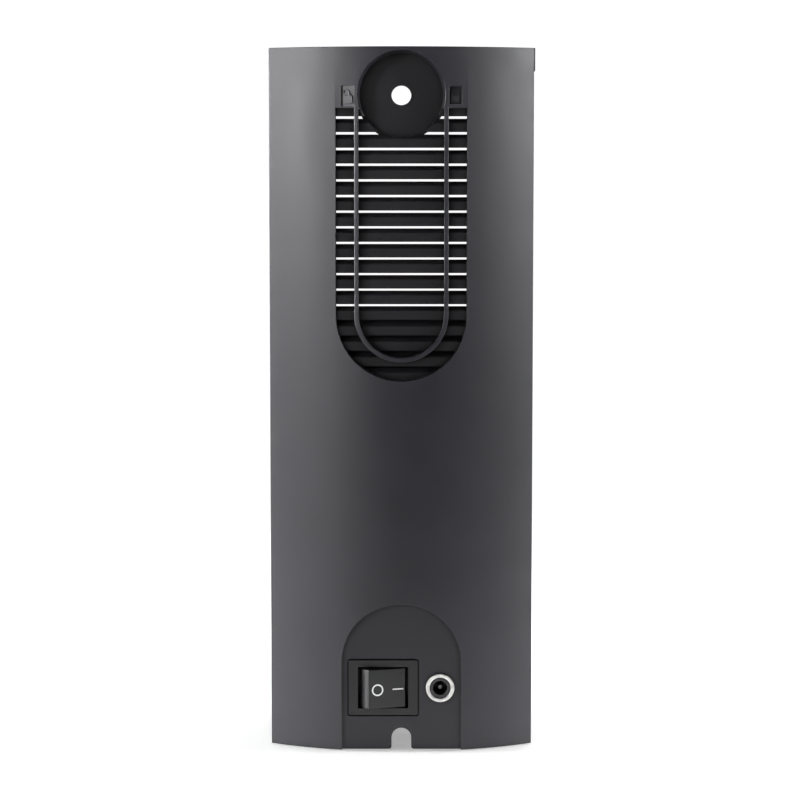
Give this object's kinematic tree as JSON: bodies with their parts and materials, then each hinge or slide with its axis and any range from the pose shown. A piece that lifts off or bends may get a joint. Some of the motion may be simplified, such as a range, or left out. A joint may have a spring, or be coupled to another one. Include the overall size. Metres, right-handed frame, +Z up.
{
  "type": "air purifier",
  "caption": "Slim upright desktop air purifier with bowed faces, rear louvre and lock dish, front filter door, rocker switch and round power socket.",
  "frame": {"origin": "centre of the footprint, on the surface that the feet stand on", "axes": "+Z up, -Y out of the rear face that holds the louvre, switch and socket, +X to the right as seen from the rear"},
  "size_m": [0.1169, 0.1, 0.31],
  "materials": {
    "cover_plastic": "fine satin moulded texture",
    "vent_plastic": "fine satin moulded texture, darker",
    "inner_plastic": "plain moulded",
    "plated_steel": "zinc plated",
    "screw_steel": "zinc plated",
    "foot_rubber": "matt",
    "magnet_nickel": "nickel plated",
    "mesh_plastic": "woven mesh",
    "filter_card": "coated card",
    "filter_paper": "pleated glass fibre paper",
    "carbon_foam": "granule coated foam",
    "tab_fabric": "woven ribbon",
    "seal_foam": "open cell foam",
    "fan_plastic": "semi gloss moulded",
    "lamination_steel": "stacked laminations",
    "copper_wire": "enamelled windings",
    "bronze": "sintered",
    "magnet_ferrite": "ferrite",
    "board_green": "solder mask",
    "component_black": "moulded packages",
    "led_lens": "clear",
    "clear_pipe": "clear",
    "switch_plastic": "semi matt",
    "mark_white": "printed",
    "contact_brass": "tinned",
    "socket_nickel": "nickel plated, turned",
    "wire_pvc": "insulation"
  },
  "bodies": {
    "housing": {"rear_cover": "cover_plastic", "rear_louvre": "vent_plastic", "lock_retainer": "inner_plastic", "retainer_screws": "screw_steel", "lock_sleeve": "vent_plastic", "front_housing": "cover_plastic", "front_grille": "vent_plastic", "top_cap": "cover_plastic", "base_plate": "inner_plastic", "rubber_feet": "foot_rubber", "base_screws": "screw_steel", "catch_plates": "plated_steel", "door_pins": "plated_steel", "prefilter": "mesh_plastic", "filter_frame": "filter_card", "filter_media": "filter_paper", "carbon_filter": "carbon_foam", "filter_tab": "tab_fabric", "filter_seal": "seal_foam", "bulkhead": "inner_plastic", "chassis_wall": "inner_plastic", "fan_deck": "inner_plastic", "deck_screws": "screw_steel", "air_duct": "inner_plastic", "fan_frame": "fan_plastic", "fan_stator": "lamination_steel", "fan_coils": "copper_wire", "fan_bush": "bronze", "fan_gasket": "seal_foam", "fan_screws": "screw_steel", "control_board": "board_green", "board_parts": "component_black", "board_screws": "screw_steel", "status_led": "led_lens", "light_pipe": "clear_pipe", "ioniser": "component_black", "ioniser_needles": "plated_steel", "switch_body": "switch_plastic", "switch_terminals": "contact_brass", "jack_barrel": "socket_nickel", "jack_insert": "switch_plastic", "jack_pin": "socket_nickel", "jack_nut": "socket_nickel", "jack_lugs": "contact_brass", "wiring": "wire_pvc"},
    "lock": {"lock_disc": "vent_plastic", "lock_cam": "plated_steel"},
    "rocker": {"switch_rocker": "switch_plastic", "switch_marks": "mark_white"},
    "rotor": {"fan_rotor": "fan_plastic", "fan_magnet": "magnet_ferrite", "fan_shaft": "plated_steel"},
    "door": {"filter_door": "cover_plastic", "door_magnets": "magnet_nickel"}
  },
  "joints": [
    {"name": "lock_turn", "type": "hinge", "parent": "housing", "child": "lock", "pos_m": [0, -0.04165, 0.2892], "axis": [0, -1, 0], "range_deg": [0, 60]},
    {"name": "rocker_tilt", "type": "hinge", "parent": "housing", "child": "rocker", "pos_m": [-0.0081, -0.0415, 0.028], "axis": [0, 0, -1], "range_deg": [0, 33]},
    {"name": "fan_spin", "type": "hinge", "parent": "housing", "child": "rotor", "pos_m": [0, 0, 0.17], "axis": [0, 0, 1], "continuous": true},
    {"name": "door_open", "type": "hinge", "parent": "housing", "child": "door", "pos_m": [0, 0.036, 0.018], "axis": [-1, 0, 0], "range_deg": [0, 70]}
  ]
}
